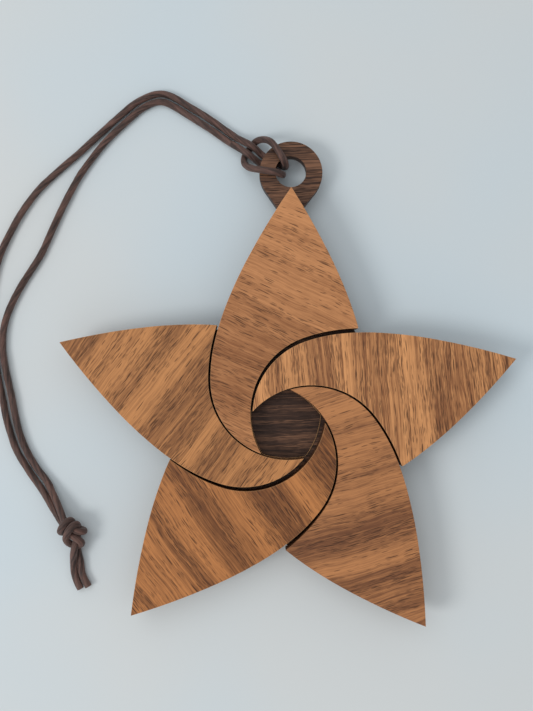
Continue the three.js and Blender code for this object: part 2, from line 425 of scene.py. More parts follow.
def wood_grain_group() -> bpy.types.NodeTree:
    """Build the wood effect: figure, streaks, fibres, pores, end grain, lighter arrises and painted
    shade on upright walls.

    Returns:
        A group from a place in millimetres and a figure level to colour, roughness and height.
    """
    g, start, end = new_group(
        "Wood Grain",
        "ShaderNodeTree",
        {
            "Vector": ("Vector", None),
            "Figure": ("Float", 0.5),
            "Light": ("Color", None),
            "Dark": ("Color", None),
            "Pore": ("Color", None),
            "Pores": ("Float", 0.5),
            "Streak": ("Float", 0.3),
            "Arris": ("Float", 0.0),
            "End": ("Float", 0.0),
            "Wall": ("Float", 0.0),
        },
        {"Color": "Color", "Roughness": "Float", "Height": "Float"},
    )
    place, figure = start.outputs["Vector"], start.outputs["Figure"]
    streaks, threads, fibres = (g.layer(place, kind) for kind in (STREAKS, THREADS, FIBRES))
    lines = g.math("MULTIPLY", g.layer(place, DARK_LINES), DARK_LINE_GAIN)
    level = figure
    for mark in (streaks, threads, lines):
        level = g.math("MULTIPLY_ADD", mark, start.outputs["Streak"], level)
    for mark, gain in (
        (fibres, FIBRE_GAIN),
        (g.layer(place, CURL), CURL_GAIN),
        (start.outputs["End"], END_GRAIN_GAIN),
    ):
        level = g.math("MULTIPLY_ADD", mark, gain, level)
    darkness = g.between(level, LEVEL_LOW, LEVEL_HIGH)
    base = g.mix(darkness, start.outputs["Light"], start.outputs["Dark"])
    crowded = g.math("MULTIPLY", start.outputs["Pores"], g.layer(place, PORE_CROWDS))
    dark_share = g.math("MULTIPLY_ADD", figure, PORES_IN_DARK, PORES_IN_LIGHT)
    share = g.math("MULTIPLY", crowded, dark_share)
    long_pores = pore_layer(g, place, LONG_PORE, LONG_PORE_REACH, share)
    short_pores = pore_layer(g, place, SHORT_PORE, SHORT_PORE_REACH, share)
    pores = g.math("MAXIMUM", long_pores, g.math("MULTIPLY", short_pores, SHORT_PORE_GAIN))
    marked = g.mix(g.math("MULTIPLY", pores, PORE_STAIN), base, start.outputs["Pore"])
    # Eased edges are tinted lighter; on the plate's boss rim the stronger tint is a painted
    # highlight.
    lightened_edges = g.mix(g.math("MULTIPLY", start.outputs["Arris"], ARRIS_GAIN), marked, ARRIS_TINT)
    # Upright walls are mixed towards the pore colour: painted shade for the gaps between the
    # pieces.
    shaded_walls = g.mix(start.outputs["Wall"], lightened_edges, start.outputs["Pore"])
    g.feed(end.inputs["Color"], shaded_walls)
    plain = g.math("MULTIPLY_ADD", pores, PORE_ROUGHNESS, WOOD_ROUGHNESS)
    rough = g.math("MULTIPLY_ADD", fibres, FIBRE_ROUGHNESS, plain)
    g.feed(end.inputs["Roughness"], rough)
    fibre_relief = g.math("MULTIPLY_ADD", fibres, FIBRE_HEIGHT, FACE_HEIGHT)
    relief = g.math("MULTIPLY_ADD", threads, THREAD_HEIGHT, fibre_relief)
    sunk = g.math("MULTIPLY", pores, FACE_HEIGHT)
    g.feed(end.inputs["Height"], g.math("SUBTRACT", relief, sunk))
    return g.tree


def twine_group() -> bpy.types.NodeTree:
    """Build the waxed twine effect on cylinder coordinates that follow a cord.

    Returns:
        A group from a place round and along the cord, in millimetres, to colour, roughness and
        height.
    """
    g, start, end = new_group(
        "Twine",
        "ShaderNodeTree",
        {"Vector": ("Vector", None), "Light": ("Color", None), "Dark": ("Color", None)},
        {"Color": "Color", "Roughness": "Float", "Height": "Float"},
    )
    place = start.outputs["Vector"]
    yarn, hair, wax = (g.layer(place, kind) for kind in (YARNS, HAIRS, WAX))
    level = g.math("MULTIPLY_ADD", hair, HAIR_GAIN, g.math("MULTIPLY", yarn, YARN_GAIN))
    tone = g.mix(level, start.outputs["Dark"], start.outputs["Light"])
    waxed = g.mix(g.math("MULTIPLY", wax, WAX_GAIN), tone, start.outputs["Dark"])
    g.feed(end.inputs["Color"], waxed)
    rough = g.math("MULTIPLY_ADD", wax, WAX_ROUGHNESS, TWINE_ROUGHNESS)
    g.feed(end.inputs["Roughness"], rough)
    g.feed(end.inputs["Height"], level)
    return g.tree


@dataclass(frozen=True)
class Effects:
    """The shader node groups that several finishes share."""

    grain_space: bpy.types.NodeTree
    wood_grain: bpy.types.NodeTree
    twine: bpy.types.NodeTree

    @classmethod
    def build(cls) -> "Effects":
        """Make every shared group once."""
        return cls(grain_space_group(), wood_grain_group(), twine_group())


# ---- Finishes ----
@dataclass(frozen=True)
class WoodFinish:
    """One piece of oiled wood, cut with its grain in one direction."""

    name: str
    grain_degrees: float
    light: Rgb
    dark: Rgb
    pore: Rgb
    bands: tuple[tuple[float, float], ...]
    pores: float = 0.5
    streak: float = 0.3
    seed: Point = (0.0, 0.0, 0.0)
    reach: float = 60.0
    relief: float = 0.05 * MM
    bump: float = 0.6
    specular: float = 0.28
    end_facing: tuple[float, float] = (0.3, 0.95)
    # Upright walls, by the tilt of their normal, are mixed this far towards the pore colour:
    # painted shade for the gaps between the pieces.
    wall_tilt: tuple[float, float] = (0.3, 0.1)
    wall_shade: float = 0.6

    def figure(self, g: Graph, across: bpy.types.NodeSocket) -> bpy.types.NodeSocket:
        """Turn the place across the grain into how dark the figure is there.

        Args:
            g: The material's graph.
            across: Millimetres across the grain.

        Returns:
            The 0 to 1 darkness socket.
        """
        unit = g.math("MULTIPLY_ADD", across, 0.5 / self.reach, 0.5)
        stops = tuple((0.5 + place * 0.5 / self.reach, level) for place, level in self.bands)
        return g.ramp(unit, stops)

    def material(self, effects: Effects) -> bpy.types.Material:
        """Make the material.

        Args:
            effects: The shared node groups.

        Returns:
            The new material.
        """
        material, g, shader = new_material(self.name)
        coordinates = g.add("ShaderNodeTexCoord")
        turn = g.add("ShaderNodeMapping", vector_type="POINT")
        g.feed(turn.inputs["Vector"], coordinates.outputs["Object"])
        g.feed(turn.inputs["Rotation"], (0.0, 0.0, -math.radians(self.grain_degrees)))
        g.feed(turn.inputs["Scale"], (1 / MM, 1 / MM, 1 / MM))
        space = g.group(effects.grain_space, Vector=turn.outputs["Vector"])
        own = g.add("ShaderNodeVectorMath", operation="ADD")
        g.feed(own.inputs[0], space.outputs["Vector"])
        g.feed(own.inputs[1], self.seed)
        arris = g.add("ShaderNodeAttribute", attribute_type="GEOMETRY", attribute_name="arris")
        heading = math.radians(self.grain_degrees)
        surface = g.add("ShaderNodeNewGeometry")
        upright = g.add("ShaderNodeSeparateXYZ")
        g.feed(upright.inputs[0], surface.outputs["True Normal"])
        facing = g.add("ShaderNodeVectorMath", operation="DOT_PRODUCT")
        g.feed(facing.inputs[0], surface.outputs["True Normal"])
        g.feed(facing.inputs[1], (math.cos(heading), math.sin(heading), 0.0))
        cut = g.between(g.math("ABSOLUTE", facing.outputs["Value"]), *self.end_facing)
        tilt = g.math("ABSOLUTE", upright.outputs[2])
        grain = g.group(
            effects.wood_grain,
            Vector=own.outputs[0],
            Figure=self.figure(g, space.outputs["Across"]),
            Light=linear(self.light),
            Dark=linear(self.dark),
            Pore=linear(self.pore),
            Pores=self.pores,
            Streak=self.streak,
            Arris=arris.outputs["Fac"],
            End=cut,
            Wall=g.between(tilt, *self.wall_tilt, to_high=self.wall_shade),
        )
        g.feed(shader.inputs["Base Color"], grain.outputs["Color"])
        g.feed(shader.inputs["Roughness"], grain.outputs["Roughness"])
        shader.inputs["Specular IOR Level"].default_value = self.specular
        bump = g.add("ShaderNodeBump")
        g.feed(bump.inputs["Height"], grain.outputs["Height"])
        bump.inputs["Strength"].default_value = self.bump
        bump.inputs["Distance"].default_value = self.relief
        g.feed(shader.inputs["Normal"], bump.outputs["Normal"])
        return material


@dataclass(frozen=True)
class TwineFinish:
    """Brown waxed cotton cord."""

    name: str = "waxed_cord"
    light: Rgb = (118, 85, 75)
    dark: Rgb = (28, 18, 16)
    relief: float = 0.12 * MM
    bump: float = 0.8
    specular: float = 0.4
    sheen: float = 0.12

    def material(self, effects: Effects) -> bpy.types.Material:
        """Make the material.

        Args:
            effects: The shared node groups.

        Returns:
            The new material.
        """
        material, g, shader = new_material(self.name)
        lay = g.add("ShaderNodeAttribute", attribute_type="GEOMETRY", attribute_name="lay")
        light, dark = linear(self.light), linear(self.dark)
        twine = g.group(effects.twine, Vector=lay.outputs["Vector"], Light=light, Dark=dark)
        g.feed(shader.inputs["Base Color"], twine.outputs["Color"])
        g.feed(shader.inputs["Roughness"], twine.outputs["Roughness"])
        shader.inputs["Specular IOR Level"].default_value = self.specular
        shader.inputs["Sheen Weight"].default_value = self.sheen
        bump = g.add("ShaderNodeBump")
        g.feed(bump.inputs["Height"], twine.outputs["Height"])
        bump.inputs["Strength"].default_value = self.bump
        bump.inputs["Distance"].default_value = self.relief
        g.feed(shader.inputs["Normal"], bump.outputs["Normal"])
        return material


@dataclass(frozen=True)
class FloorFinish:
    """A plain pale board with the faintest cloud of warmer and cooler tint."""

    name: str = "pale_board"
    cool: Rgb = (208, 220, 227)
    warm: Rgb = (216, 220, 221)
    clouds: Layer = Layer((9.0, 9.0, 9.0), 2.0, 0.35, 0.65, 0.0, 1.0)
    roughness: float = 0.75
    specular: float = 0.2

    def material(self) -> bpy.types.Material:
        """Make the material."""
        material, g, shader = new_material(self.name)
        cloud = g.layer(g.add("ShaderNodeTexCoord").outputs["Object"], self.clouds)
        g.feed(shader.inputs["Base Color"], g.mix(cloud, linear(self.cool), linear(self.warm)))
        shader.inputs["Roughness"].default_value = self.roughness
        shader.inputs["Specular IOR Level"].default_value = self.specular
        return material


WALNUT_PORE = (58, 34, 22)
BLADE_WOODS = {
    Side.TOP: WoodFinish(
        "walnut_top", -22.0, (206, 143, 94), (136, 85, 50), WALNUT_PORE,
        ((-7, 0.75), (-3, 0.7), (-1, 0.3), (2, 0.55), (5, 0.75), (12, 0.7), (16, 1.0), (19, 0.62),
         (22, 0.8), (25, 0.45), (28, 0.7), (30.5, 0.25), (33, 0.45), (36.5, 0.12), (40, 0.46),
         (44, 0.1), (47, 0.25), (52, 0.0)),
        pores=0.5, streak=0.2, seed=(3.0, 0.0, 11.0),
    ),
    Side.RIGHT: WoodFinish(
        "walnut_right", -83.0, (226, 160, 104), (128, 80, 49), WALNUT_PORE,
        ((-6, 0.15), (-3, 0.4), (0, 0.05), (4, 0.66), (6.5, 0.32), (8, 0.47), (9.5, 0.22),
         (12, 0.66), (15.5, 0.82), (20.5, 0.18), (23.5, 0.54), (28.5, 0.7), (33, 0.48), (37, 0.1),
         (42.5, 0.82), (45.5, 0.53), (47.5, 0.63), (49.5, 0.5), (53, 0.32), (55, 0.65)),
        pores=0.75, streak=0.34, seed=(47.0, 0.0, 3.0),
    ),
    Side.LOWER_RIGHT: WoodFinish(
        "walnut_lower_right", 18.3, (194, 132, 84), (112, 70, 45), WALNUT_PORE,
        ((-53, 0.79), (-50, 0.8), (-46.5, 0.1), (-43.5, 0.68), (-39.5, 0.45), (-35, 0.9),
         (-31.5, 0.1), (-24, 1.0), (-15.5, 0.1), (-13, 0.3), (-10.5, 0.5), (-7.5, 0.28),
         (-5, 0.07), (-3, 0.2), (0, 0.35), (4.5, 0.0), (7, 0.2)),
        pores=0.45, streak=0.24, seed=(91.0, 0.0, 23.0),
    ),
    Side.LOWER_LEFT: WoodFinish(
        "walnut_lower_left", -51.0, (196, 129, 75), (108, 65, 36), WALNUT_PORE,
        ((-54.5, 0.8), (-52.5, 0.84), (-48.5, 0.3), (-46, 0.53), (-43, 0.35), (-39.5, 0.36),
         (-37, 0.0), (-32.5, 0.6), (-27.5, 0.2), (-22, 0.93), (-16.5, 0.14), (-8, 1.0),
         (-5.5, 0.9), (-0.5, 0.0), (6.5, 0.95)),
        pores=0.6, streak=0.28, seed=(133.0, 0.0, 41.0),
    ),
    Side.LEFT: WoodFinish(
        "walnut_left", 55.3, (206, 142, 88), (124, 79, 47), WALNUT_PORE,
        ((-7, 0.54), (-3.5, 0.39), (-0.5, 0.0), (4, 0.54), (7, 0.6), (9, 0.25), (11, 0.58),
         (14.5, 0.83), (19.5, 0.1), (22.5, 0.62), (28, 0.84), (30.5, 0.77), (36, 0.0),
         (40.5, 0.64), (45, 0.18), (48.5, 0.4), (50.5, 0.24), (54, 0.7)),
        pores=0.62, streak=0.26, seed=(177.0, 0.0, 59.0),
    ),
}
# Its figure bands are darkest across the middle, painted shade on the recess floor seen through the
# opening, and lighter towards the ring.
PLATE_WOOD = WoodFinish(
    "dark_walnut", 4.0, (132, 93, 69), (54, 33, 23), (32, 19, 14),
    ((-50, 0.8), (-9, 1.0), (-4, 0.85), (1, 1.05), (6, 0.9), (11, 1.05), (40, 0.8), (52, 0.6),
     (58, 0.3), (62, 0.5), (66, 0.25), (70, 0.45)),
    pores=0.6, streak=0.5, seed=(211.0, 0.0, 7.0), reach=80.0,
)
COVER_WOOD = WoodFinish(
    "cover_walnut", 4.0, (176, 124, 84), (112, 72, 48), WALNUT_PORE,
    ((-50, 0.3), (-36, 0.8), (-27, 0.2), (-15, 0.7), (-6, 0.35), (4, 0.85), (13, 0.2), (24, 0.6),
     (33, 0.15), (46, 0.7)),
    pores=0.6, streak=0.3, seed=(251.0, 0.0, 71.0),
)
KEY_WOOD = WoodFinish(
    "key_walnut", 0.0, (150, 100, 66), (92, 58, 38), WALNUT_PORE,
    ((-45, 0.3), (-30, 0.7), (-10, 0.3), (12, 0.8), (30, 0.4), (45, 0.6)),
    pores=0.5, streak=0.3, seed=(307.0, 0.0, 83.0),
)
PEG_WOOD = WoodFinish(
    "peg_birch", 90.0, (222, 190, 142), (188, 148, 100), (132, 96, 60),
    ((-45, 0.4), (-20, 0.7), (0, 0.3), (20, 0.6), (45, 0.4)),
    pores=0.15, streak=0.3, seed=(359.0, 0.0, 97.0),
)


# ---- Wooden pieces ----
@dataclass
class WoodShaper:
    """Turns a piece's plain solid into one with eased arrises."""

    ease: float = 0.1 * MM
    fine_ease: float = 0.17 * MM
    # How much stronger the tint is on the fine eased edges: a painted highlight on the boss rim.
    fine_glint: float = 2.6
    segments: int = 2
    roundness: float = 0.6
    sharp: float = math.radians(32)
    flat: float = math.radians(0.6)
    merge: float = 0.002 * MM
    level: float = 0.999

    def shape(
        self, node: bpy.types.Object, name: str, material: bpy.types.Material,
        fine_above: float = math.inf,
    ) -> bpy.types.Object:
        """Copy a solid, ease its sharp edges and mark them.

        Args:
            node: The solid's object.
            name: The new piece's name.
            material: Its finish.
            fine_above: Height above which eased edges get a stronger tint, a painted highlight.

        Returns:
            The new object, at the origin.
        """
        mesh = bpy.data.meshes.new(name)
        work = bmesh.new()
        work.from_mesh(node.data)
        bmesh.ops.remove_doubles(work, verts=work.verts, dist=self.merge)
        bmesh.ops.dissolve_limit(
            work, angle_limit=self.flat, verts=work.verts, edges=work.edges
        )
        for layer in list(work.loops.layers.uv):
            work.loops.layers.uv.remove(layer)
        arris = work.faces.layers.float.new("arris")
        if fine_above < math.inf:
            self.bevel(work, arris, self.fine_ease, self.fine_glint, fine_above, math.inf)
        self.bevel(work, arris, self.ease, 1.0, -math.inf, fine_above)
        bmesh.ops.recalc_face_normals(work, faces=work.faces)
        for face in work.faces:
            face.smooth = abs(face.normal.z) < self.level
        work.to_mesh(mesh)
        work.free()
        mesh.materials.clear()
        mesh.materials.append(material)
        piece = bpy.data.objects.new(name, mesh)
        bpy.context.scene.collection.objects.link(piece)
        return piece

    def bevel(
        self, work: bmesh.types.BMesh, arris: bmesh.types.BMLayerItem, offset: float,
        glint: float, low: float, high: float,
    ) -> None:
        """Ease the sharp edges whose top end lies between two heights, and mark the new faces.

        Args:
            work: The mesh.
            arris: The face layer that marks eased edges.
            offset: How far in from the edge each new face starts.
            glint: What the layer holds on the new faces, 1 for a plain arris, more for a painted
                highlight.
            low: Lowest top end that is eased.
            high: Highest one.
        """
        edges = [
            e for e in work.edges
            if len(e.link_faces) == 2 and e.calc_face_angle(0.0) > self.sharp
            and not any(f[arris] for f in e.link_faces)
            and low < max(v.co.z for v in e.verts) <= high
        ]
        made = bmesh.ops.bevel(
            work, geom=edges, offset=offset, offset_type="OFFSET", segments=self.segments,
            profile=self.roundness, affect="EDGES", clamp_overlap=True,
        )
        for face in made["faces"]:
            face[arris] = glint


@dataclass
class Blades:
    """The five hooked blades, each a copy of its solid with eased arrises and its own wood."""

    frame: dict
    effects: Effects
    shaper: WoodShaper = field(default_factory=WoodShaper)
    slot: str = "walnut"

    def build(self) -> None:
        """Make and dress all five blades."""
        for side in Side:
            name = f"blade_{side.value}"
            wood = BLADE_WOODS[side].material(self.effects)
            piece = self.shaper.shape(self.frame["nodes"][name], f"oiled_{name}", wood)
            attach(piece, name)
            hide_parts(name)
            LOG.info("%s: %d faces", piece.name, len(piece.data.polygons))


@dataclass
class Carrier:
    """The dark plate with its ring, the cover behind it, and the keys and pegs in its slots."""

    frame: dict
    effects: Effects
    shaper: WoodShaper = field(default_factory=WoodShaper)
    body: str = "back_plate"
    rim_depth: float = 0.1 * MM

    def build(self) -> None:
        """Make the plate and cover, and dress the keys and pegs."""
        # Eased edges on the boss rim get the stronger tint, a painted highlight.
        boss_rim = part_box("back_plate")[1].z - self.rim_depth
        for node, name, wood, slot, fine_above in (
            ("back_plate", "dark_plate", PLATE_WOOD, "dark_walnut", boss_rim),
            ("back_cover", "glued_cover", COVER_WOOD, "walnut", math.inf),
        ):
            solid = self.frame["nodes"][node]
            piece = self.shaper.shape(solid, name, wood.material(self.effects), fine_above)
            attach(piece, self.body)
            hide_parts(node)
            LOG.info("%s: %d faces", piece.name, len(piece.data.polygons))
        self.dress()

    def dress(self) -> None:
        """Give the keys and pegs their woods."""
        key_wood = KEY_WOOD.material(self.effects)
        peg_wood = PEG_WOOD.material(self.effects)
        for side in Side:
            self.finish(f"key_{side.value}", key_wood)
            for end in PegEnd:
                self.finish(f"peg_{side.value}_{end.value}", peg_wood)

    def finish(self, node: str, material: bpy.types.Material) -> None:
        """Put a material on a solid that stays as it is."""
        data = self.frame["nodes"][node].data
        data.materials.clear()
        data.materials.append(material)
        LOG.info("%s: %s", node, material.name)


# ---- Cord ----
HITCH_ROUTE = (
    (-14.46, 71.4, 1.3), (-12.6, 70.25, 2.4), (-10.9, 69.2, 3.0), (-9.5, 68.4, 2.5),
    (-8.3, 67.65, 1.35), (-6.8, 66.75, 1.05), (-5.0, 66.0, 1.0), (-3.3, 65.1, 0.98),
    (-2.2, 64.35, 1.7), (-1.85, 64.1, 2.9), (-1.9, 64.2, 4.0), (-2.35, 64.8, 5.5),
    (-3.1, 65.9, 6.0), (-4.2, 67.6, 6.0), (-5.7, 69.3, 5.6), (-7.7, 70.5, 3.6), (-9.4, 70.5, 1.7),
    (-10.6, 69.3, 1.0), (-11.35, 68.1, 0.95), (-12.1, 66.9, 1.0), (-12.3, 65.4, 1.5),
    (-11.4, 63.7, 3.2), (-9.6, 62.6, 5.2), (-7.8, 62.2, 6.0), (-5.9, 62.0, 5.98),
    (-4.2, 61.8, 5.85), (-2.9, 61.6, 4.8), (-2.5, 61.85, 3.4), (-2.6, 62.3, 2.1),
    (-3.4, 63.0, 1.1), (-5.2, 64.0, 1.0), (-7.0, 64.6, 1.0), (-8.7, 65.4, 1.2),
    (-10.1, 66.2, 2.3), (-11.6, 67.1, 3.0), (-13.5, 68.4, 2.4), (-15.54, 69.8, 1.3),
)
STRAND_A_ROUTE = (
    (-14.46, 71.4, 1.3), (-16.6, 72.9, 0.95), (-19.4, 74.8, 0.95), (-25.8, 78.6, 0.95),
    (-33.4, 82.0, 0.95), (-39.4, 79.8, 0.95), (-44.6, 75.2, 0.95), (-52.8, 67.0, 0.95),
    (-63.1, 56.8, 0.95), (-67.8, 49.8, 0.95), (-72.3, 39.6, 0.95), (-74.1, 31.5, 0.95),
    (-74.2, 24.5, 0.95), (-73.0, 17.2, 0.95), (-71.6, 10.5, 0.95), (-70.0, 4.0, 0.95),
    (-68.6, -1.5, 0.95), (-66.1, -8.2, 0.95), (-62.9, -13.2, 1.0), (-59.55, -17.5, 1.2),
)
STRAND_B_ROUTE = (
    (-15.54, 69.8, 1.3), (-17.6, 71.2, 0.95), (-20.4, 73.0, 0.95), (-26.8, 76.8, 0.95),
    (-33.5, 79.95, 0.95), (-38.2, 78.15, 0.95), (-42.4, 74.3, 0.95), (-47.2, 69.2, 0.95),
    (-53.3, 60.4, 0.95), (-57.8, 50.9, 0.95), (-62.3, 39.9, 0.95), (-67.0, 31.6, 0.95),
    (-70.0, 24.1, 0.95), (-70.6, 17.4, 0.95), (-69.4, 10.7, 0.95), (-67.7, 4.4, 0.95),
    (-66.3, -1.5, 0.95), (-64.0, -7.6, 0.95), (-61.0, -12.4, 1.0), (-57.85, -16.3, 1.2),
)
KNOT_A_ROUTE = (
    (-54.9, -24.1, 2.1), (-54.0, -25.3, 2.3), (-53.1, -26.4, 2.6), (-52.2, -27.3, 2.9),
    (-51.4, -28.1, 3.4), (-50.4, -28.7, 3.9), (-49.3, -29.3, 4.0), (-48.6, -30.1, 3.4),
    (-49.1, -30.8, 2.6), (-50.3, -31.0, 2.3), (-51.4, -30.6, 2.7), (-52.0, -29.9, 3.5),
    (-52.2, -29.1, 4.3), (-51.9, -28.0, 4.9), (-51.3, -26.9, 5.2), (-50.6, -25.9, 5.0),
    (-49.8, -25.6, 4.2), (-49.6, -26.3, 3.3), (-49.7, -27.5, 3.0), (-49.8, -28.8, 3.0),
    (-50.0, -30.0, 3.2), (-50.2, -31.3, 3.4), (-50.4, -32.6, 3.1), (-50.7, -35.0, 1.6),
    (-50.5, -38.0, 0.95), (-49.7, -40.2, 0.95), (-48.8, -41.8, 0.95),
)
KNOT_B_ROUTE = (
    (-53.8, -23.3, 3.2), (-53.0, -24.8, 3.5), (-52.0, -26.0, 3.8), (-50.9, -26.6, 4.0),
    (-49.8, -27.1, 4.2), (-48.6, -27.4, 3.8), (-48.2, -27.4, 2.7), (-48.9, -27.3, 1.7),
    (-50.0, -27.3, 1.1), (-51.2, -27.4, 0.95), (-52.4, -27.8, 1.3), (-53.3, -28.0, 2.1),
    (-53.8, -27.7, 3.1), (-53.6, -27.0, 4.0), (-53.0, -26.1, 4.7), (-52.2, -25.1, 4.6),
    (-51.3, -24.8, 3.9), (-51.0, -25.4, 2.9), (-50.9, -26.5, 2.3), (-50.8, -27.7, 2.0),
    (-50.6, -28.9, 1.6), (-50.4, -30.1, 1.2), (-50.1, -31.4, 1.0), (-49.8, -32.8, 0.95),
    (-49.1, -35.4, 0.95), (-48.7, -37.9, 0.95), (-47.9, -39.6, 0.95), (-46.9, -41.2, 0.95),
)


def through(points: tuple[Point, ...], spacing: float = 0.3) -> list[Vector]:
    """Run a smooth line through points, evenly knotted by the root of their distances.

    Args:
        points: Places in millimetres.
        spacing: Rough distance between the line's points, in millimetres.

    Returns:
        The line's points, in metres.
    """
    known = [Vector(p) for p in points]
    known = [known[0] * 2 - known[1], *known, known[-1] * 2 - known[-2]]
    line = []
    for i in range(1, len(known) - 2):
        p0, p1, p2, p3 = known[i - 1 : i + 3]
        d0, d1, d2 = (math.sqrt((b - a).length) for a, b in ((p0, p1), (p1, p2), (p2, p3)))
        m1 = ((p1 - p0) / d0 - (p2 - p0) / (d0 + d1) + (p2 - p1) / d1) * d1
        m2 = ((p2 - p1) / d1 - (p3 - p1) / (d1 + d2) + (p3 - p2) / d2) * d1
        steps = max(2, round((p2 - p1).length / spacing))
        for k in range(steps):
            t = k / steps
            line.append(
                p1 * (2 * t**3 - 3 * t**2 + 1) + m1 * (t**3 - 2 * t**2 + t)
                + p2 * (3 * t**2 - 2 * t**3) + m2 * (t**3 - t**2)
            )
    line.append(known[-2])
    return [p * MM for p in line]


def run_length(line: list[Vector]) -> float:
    """Return the length of a line of points."""
    return sum((b - a).length for a, b in zip(line, line[1:]))


class CordTree:
    """Geometry nodes that lay a twisted, slightly uneven cord along a curve."""

    SWELLS_PER_METRE = 0.45 / MM
    AROUND_MM = (0.9, 0.9, 0.0)

    def __init__(self) -> None:
        """Build the tree once."""
        g, start, end = new_group(
            "Laid Cord",
            "GeometryNodeTree",
            {
                "Geometry": ("Geometry", None),
                "Radius": ("Float", 0.9 * MM),
                "Plies": ("Int", 3),
                "Groove": ("Float", 0.025),
                "Lay Length": ("Float", 26.0 * MM),
                "Unevenness": ("Float", 0.24),
                "Step": ("Float", 0.35 * MM),
                "Sides": ("Int", 20),
                "Seed": ("Float", 0.0),
                "Material": ("Material", None),
            },
            {"Geometry": "Geometry"},
        )
        self.graph = g
        put = start.outputs
        fine = g.add("GeometryNodeResampleCurve", mode="LENGTH")
        g.feed(fine.inputs["Curve"], put["Geometry"])
        g.feed(fine.inputs["Length"], put["Step"])
        run = g.math("ADD", g.add("GeometryNodeSplineParameter").outputs["Length"], put["Seed"])
        noted = self.note(fine.outputs["Curve"], "FLOAT", "run", run)
        twisted = g.add("GeometryNodeSetCurveTilt")
        g.feed(twisted.inputs["Curve"], noted)
        turns = g.math("DIVIDE", run, put["Lay Length"])
        g.feed(twisted.inputs["Tilt"], g.math("MULTIPLY", turns, math.tau))
        at = g.add("ShaderNodeCombineXYZ")
        g.feed(at.inputs[0], g.math("MULTIPLY", run, self.SWELLS_PER_METRE))
        swell = g.math("SUBTRACT", g.noise(at.outputs[0], 2.0), 0.5)
        uneven = g.math("MULTIPLY_ADD", swell, put["Unevenness"], 1.0)
        thick = g.math("MULTIPLY", put["Radius"], uneven)
        swept = g.add("GeometryNodeCurveToMesh")
        sized = self.note(twisted.outputs["Curve"], "FLOAT", "thickness", thick)
        g.feed(swept.inputs["Curve"], sized)
        section = self.profile(put["Sides"], put["Plies"], put["Groove"])
        g.feed(swept.inputs["Profile Curve"], section)
        g.feed(swept.inputs["Fill Caps"], True)
        g.feed(swept.inputs["Scale"], self.read("FLOAT", "thickness"))
        around = g.stretch(self.read("FLOAT_VECTOR", "around"), self.AROUND_MM)
        along = g.add("ShaderNodeCombineXYZ")
        g.feed(along.inputs[2], g.math("MULTIPLY", self.read("FLOAT", "run"), 1 / MM))
        lay = g.add("ShaderNodeVectorMath", operation="ADD")
        g.feed(lay.inputs[0], around)
        g.feed(lay.inputs[1], along.outputs[0])
        laid = self.note(swept.outputs["Mesh"], "FLOAT_VECTOR", "lay", lay.outputs[0])
        smooth = g.add("GeometryNodeSetShadeSmooth")
        g.feed(smooth.inputs[0], laid)
        real = g.add("GeometryNodeRealizeInstances")
        g.feed(real.inputs[0], smooth.outputs[0])
        dressed = g.add("GeometryNodeSetMaterial")
        g.feed(dressed.inputs["Geometry"], real.outputs[0])
        g.feed(dressed.inputs["Material"], put["Material"])
        g.feed(end.inputs["Geometry"], dressed.outputs[0])

    def note(
        self, geometry: bpy.types.NodeSocket, kind: str, name: str, value: object
    ) -> bpy.types.NodeSocket:
        """Store a named attribute on points.

        Args:
            geometry: The geometry socket.
            kind: The attribute's data type.
            name: Its name.
            value: What to store.

        Returns:
            The geometry socket that carries it.
        """
        node = self.graph.add("GeometryNodeStoreNamedAttribute", data_type=kind, domain="POINT")
        self.graph.feed(node.inputs["Geometry"], geometry)
        self.graph.feed(node.inputs["Name"], name)
        self.graph.feed(node.inputs["Value"], value)
        return node.outputs["Geometry"]

    def read(self, kind: str, name: str) -> bpy.types.NodeSocket:
        """Return a socket that reads a named attribute."""
        node = self.graph.add("GeometryNodeInputNamedAttribute", data_type=kind)
        self.graph.feed(node.inputs["Name"], name)
        return node.outputs["Attribute"]

    def profile(self, sides: object, plies: object, groove: object) -> bpy.types.NodeSocket:
        """Make the section of one cord, a circle of radius 1 with a shallow groove between plies.

        Args:
            sides: Points round it.
            plies: How many plies show.
            groove: Depth of the grooves as a share of the radius.

        Returns:
            The profile curve's socket.
        """
        g = self.graph
        circle = g.add("GeometryNodeCurvePrimitiveCircle", mode="RADIUS")
        g.feed(circle.inputs["Resolution"], sides)
        g.feed(circle.inputs["Radius"], 1.0)
        angle = g.math("MULTIPLY", g.add("GeometryNodeSplineParameter").outputs["Factor"], math.tau)
        swell = g.math("MULTIPLY", g.math("COSINE", g.math("MULTIPLY", angle, plies)), groove)
        place = g.add("GeometryNodeInputPosition").outputs[0]
        noted = self.note(circle.outputs["Curve"], "FLOAT_VECTOR", "around", place)
        lobed = g.add("GeometryNodeSetPosition")
        g.feed(lobed.inputs["Geometry"], noted)
        grown = g.add("ShaderNodeVectorMath", operation="SCALE")
        g.feed(grown.inputs[0], place)
        g.feed(grown.inputs["Scale"], swell)
        g.feed(lobed.inputs["Offset"], grown.outputs[0])
        return lobed.outputs["Geometry"]

    def socket(self, name: str) -> str:
        """Return the identifier of one of the tree's inputs."""
        sockets = self.graph.tree.interface.items_tree
        return next(s.identifier for s in sockets if s.name == name and s.in_out == "INPUT")

